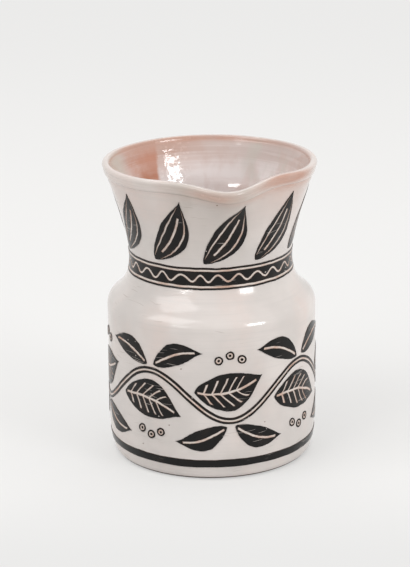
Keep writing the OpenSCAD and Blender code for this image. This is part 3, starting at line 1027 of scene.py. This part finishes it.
# a copy of a flat piece, laid on the wall at its own place with its own unsteadiness
def layCopy(flat, az, z, tilt, mirror, seed):
    pick(flat)
    bpy.ops.object.duplicate()
    copy = bpy.context.active_object
    lean = radians(tilt)
    for vertex in copy.data.vertices:
        x, y, lift = vertex.co
        strayX, strayY = stray(x, y, seed)
        x, y = x + strayX, (y + strayY) * (-1 if mirror else 1)
        height = z + x * sin(lean) + y * cos(lean)
        across = x * cos(lean) - y * sin(lean)
        vertex.co = slipPoint(radians(az) + across / wallRadius(height), height, lift)
    return copy


# each place is an angle, a height, a tilt, whether it is mirrored, and a seed
def layAll(name, node, flat, places):
    copies = [layCopy(flat, *place) for place in places]
    bpy.data.objects.remove(flat)
    bpy.ops.object.select_all(action="DESELECT")
    for copy in copies:
        copy.select_set(True)
    bpy.context.view_layer.objects.active = copies[0]
    bpy.ops.object.join()
    piece = nameNew(name)
    closeUp(piece)
    finishPiece(piece, black, node)


def arc(length, radius):
    return degrees(length / radius)


largeLeaf = {
    "length": 0.050, "width": 0.028, "bow": 0.005, "start": 0.004, "tilt": 12,
    "veins": [0.12, 0.235, 0.35, 0.465, 0.58], "veinWidth": 0.0014, "veinReach": 0.75, "slant": 0.8,
    "contour": (0.66, 0.75), "lined": False, "ribWidth": 0.0018, "ribFrom": 0.03, "ribTo": 0.90,
}


def largePlaces():
    for k in range(1, 2 * vine["waves"]):
        up = 1 if k % 2 == 0 else -1
        az = vine["handleAz"] + halfWave * (k - 0.5) + arc(largeLeaf["start"], pot["bodyRadius"])
        yield az, vine["middle"] + up * largeLeaf["start"], up * largeLeaf["tilt"], up > 0, k


sideLeaf = {
    "length": 0.038, "width": 0.016, "bow": 0.004, "start": 0.003, "gap": 0.002, "tilt": 18,
    "veins": [], "slant": 0.0, "seed": 20,
    "contour": (0.66, 0.75), "lined": False, "ribWidth": 0.0017, "ribFrom": 0.05, "ribTo": 0.88,
}


def sidePlaces():
    for k in range(2 * vine["waves"]):
        up = -1 if k % 2 == 0 else 1
        z = vine["middle"] + up * (vine["swing"] + vine["half"] + sideLeaf["gap"])
        for way in (-1, 1):
            az = vine["handleAz"] + halfWave * k + way * arc(sideLeaf["start"], pot["bodyRadius"])
            tilt = up * sideLeaf["tilt"] if way > 0 else 180 - up * sideLeaf["tilt"]
            yield az, z, tilt, way * up < 0, sideLeaf["seed"] + 2 * k + way


neckLeaf = {
    "length": 0.0542, "width": 0.0217, "bow": 0.0049, "z": 0.155, "tilt": 58, "places": 10,
    "veins": [], "slant": 0.0, "seed": 50,
    "contour": (0.52, 0.66), "lined": True, "ribWidth": 0.0016, "ribFrom": 0.16, "ribTo": 0.78,
}


def neckPlaces():
    lead = arc(neckLeaf["length"] * cos(radians(neckLeaf["tilt"])) / 2, pot["waistRadius"])
    for k in range(1, neckLeaf["places"]):
        az = vine["handleAz"] + 360 * k / neckLeaf["places"] - lead
        yield az, neckLeaf["z"], neckLeaf["tilt"], True, neckLeaf["seed"] + k


berry = {
    "radius": 0.0032, "rise": 0.031, "step": 0.008, "sides": 28,
    "ringOut": 0.0011, "ringWidth": 0.0007, "seed": 80,
}


# a flat dot with a scratched ring, made of insets
def cutBerry():
    bpy.ops.mesh.primitive_circle_add(vertices=berry["sides"], radius=berry["radius"], fill_type="NGON")
    dot = bpy.context.active_object
    bpy.ops.object.mode_set(mode="EDIT")
    bpy.ops.mesh.select_mode(type="FACE")
    bpy.ops.mesh.select_all(action="SELECT")
    extrudeUp(slip["thick"])
    bpy.ops.mesh.inset(thickness=berry["ringOut"])
    bpy.ops.mesh.inset(thickness=slip["slope"], depth=-slip["groove"])
    bpy.ops.mesh.inset(thickness=berry["ringWidth"])
    bpy.ops.mesh.inset(thickness=slip["slope"], depth=slip["groove"])
    endEdit()
    markFlat(dot)
    return dot


def berryPlaces():
    for k in range(1, 2 * vine["waves"]):
        up = 1 if k % 2 == 0 else -1
        for i in (-1, 0, 1):
            az = vine["handleAz"] + halfWave * k + arc(i * berry["step"], pot["bodyRadius"])
            z = vine["middle"] + up * (berry["rise"] - abs(i) * berry["radius"])
            yield az, z, 0, False, berry["seed"] + 3 * k + i


spinBand("waistBand", "waist_band", waist, waistHeight)
spinBand("heelBand", "heel_band", heel, heelHeight)
spinBand("vineStem", "vine_stem", vine, stemHeight)
layAll("vineLeaves", "vine_leaves", cutLeaf("largeLeaf", largeLeaf), largePlaces())
layAll("sideLeaves", "vine_side_leaves", cutLeaf("sideLeaf", sideLeaf), sidePlaces())
layAll("neckLeaves", "neck_leaves", cutLeaf("neckLeaf", neckLeaf), neckPlaces())
layAll("vineBerries", "vine_berries", cutBerry(), berryPlaces())


studio = {
    "floorSize": 40, "floorDrop": 0.0002, "floorShade": (0.620, 0.614, 0.604, 1),
    "grainScale": 3.0, "grainShade": 0.985,
    "tint": (1.0, 0.995, 0.985, 1),
    "seenShade": 0.42, "seenLift": 0.42,  # the floor where it is only looked at: lit, and even
    "backdrop": 0.835,  # the even tone of the air, and of the floor far from the pot
    "evenFrom": (0.5, 2.0), "evenFront": (0.06, 0.22),  # where the floor turns even: all round, and in front
    "world": 0.77,
    "frontDip": 0.8, "frontRise": (0.4, 1.0),  # less light comes from the camera's side
    "sideLift": 0.3, "sideAngles": (90, 10),  # and more from its right
    "distance": 1.5,
    "azimuth": -9.8,  # the camera stands a little to the lip's left
    "elevation": 17.85,
    "lens": 131.8, "sensor": 36,
    "roll": -0.75,
    "aimAside": -0.00434, "aimUp": 0.0144, "target": 0.1075,
    # azimuth from the camera, elevation, distance, width, height and power of each softbox
    "boxes": [("keyBox", 49, 16.0, 3.6, 1.20, 0.85, 44.0), ("fillBox", -35, 16.9, 3.6, 1.00, 0.11, 8.0),
              ("fillTop", -57, 48, 3.6, 2.60, 2.30, 43.0), ("backStrip", 180, 55, 3.6, 2.40, 0.60, 16.0)],
}


# a direction by its angle from the camera's side, and its elevation
def fromCamera(azimuth, elevation):
    a, e = radians(studio["azimuth"] + azimuth), radians(elevation)
    return Vector((sin(a) * cos(e), -cos(a) * cos(e), sin(e)))


# a colour with less light on it
def shaded(colour, share):
    return (*(part * share for part in colour[:3]), 1)


# 1 on rays that only look: from the camera, or mirrored, or through glass
def seenOnly(w):
    kinds = ("Is Camera Ray", "Is Glossy Ray", "Is Transmission Ray")
    camera, mirrored, through = (w.node("LightPath", {}, {}, kind) for kind in kinds)
    return w.sum("MINIMUM", camera + mirrored + through, 1.0)


def layFloor():
    bpy.ops.mesh.primitive_plane_add(size=studio["floorSize"])
    bpy.ops.object.mode_set(mode="EDIT")
    bpy.ops.transform.translate(value=(0, 0, -studio["floorDrop"]))
    endEdit()
    floor = bpy.context.active_object
    floor.name = "studioFloor"
    finish, w = startFinish("paleFloor")
    place = w.place()
    grain = cloud(place, studio["grainScale"], 2)
    shade = grain.mix(studio["floorShade"], shaded(studio["floorShade"], studio["grainShade"]))
    matt = w.node("BsdfDiffuse", {}, {"Color": shade})
    lit = w.node("BsdfDiffuse", {}, {"Color": shaded(studio["tint"], studio["seenShade"])})
    glow = w.node("Emission", {}, {"Color": studio["tint"], "Strength": studio["seenLift"]})
    lifted = w.node("AddShader", {}, {0: lit, 1: glow})
    even = w.node("Emission", {}, {"Color": studio["tint"], "Strength": studio["backdrop"]})
    away = w.node("VectorMath", {"operation": "LENGTH"}, {0: place}, "Value").rise(*studio["evenFrom"])
    near = place.along(fromCamera(0, 0)).rise(*studio["evenFront"])
    faded = w.node("MixShader", {}, {0: w.sum("MAXIMUM", away, near), 1: lifted, 2: even})
    looked = w.node("MixShader", {}, {0: seenOnly(w), 1: matt, 2: faded})
    w.node("OutputMaterial", {}, {"Surface": looked})
    floor.data.materials.append(finish)


def fillAir():
    air = bpy.data.worlds.new("studioAir")
    bpy.context.scene.world = air
    air.use_nodes = True
    air.node_tree.nodes.clear()
    w = Wire(air.node_tree)
    way = w.node("TexCoord", {}, {}, "Generated")
    front = way.along(fromCamera(0, 0)).rise(*studio["frontRise"])
    side = way.along(fromCamera(*studio["sideAngles"])).rise(0.0, 1.0)
    room = studio["world"] * (1 - front * studio["frontDip"] + side * studio["sideLift"])
    seen = seenOnly(w)
    strength = room * (1 - seen) + seen * studio["backdrop"]
    glow = w.node("Background", {}, {"Color": studio["tint"], "Strength": strength})
    w.node("OutputWorld", {}, {"Surface": glow})


def hangBoxes(target):
    for name, azimuth, elevation, distance, width, height, power in studio["boxes"]:
        way = fromCamera(azimuth, elevation)
        bpy.ops.object.light_add(type="AREA", location=target + way * distance)
        lamp = bpy.context.active_object
        lamp.name = name
        lamp.data.shape = "RECTANGLE"
        lamp.data.size, lamp.data.size_y = width, height
        lamp.data.energy = power
        lamp.visible_camera = False
        lamp.rotation_mode = "QUATERNION"
        lamp.rotation_quaternion = way.to_track_quat("Z", "Y")


def setCamera(target):
    back = fromCamera(0, studio["elevation"])
    right = (-back).cross(Vector((0, 0, 1))).normalized()
    up = right.cross(-back)
    aim = target + right * studio["aimAside"] + up * studio["aimUp"]
    bpy.ops.object.camera_add(location=target + back * studio["distance"])
    camera = bpy.context.active_object
    camera.data.lens = studio["lens"]
    camera.data.sensor_width = studio["sensor"]
    camera.rotation_mode = "QUATERNION"
    look = (camera.location - aim).to_track_quat("Z", "Y")
    camera.rotation_quaternion = look @ Quaternion((0, 0, 1), radians(studio["roll"]))
    bpy.context.scene.camera = camera
    bpy.context.scene.view_settings.view_transform = "Standard"


layFloor()
fillAir()
middle = Vector((0, 0, studio["target"]))
hangBoxes(middle)
setCamera(middle)
print("studio lit")
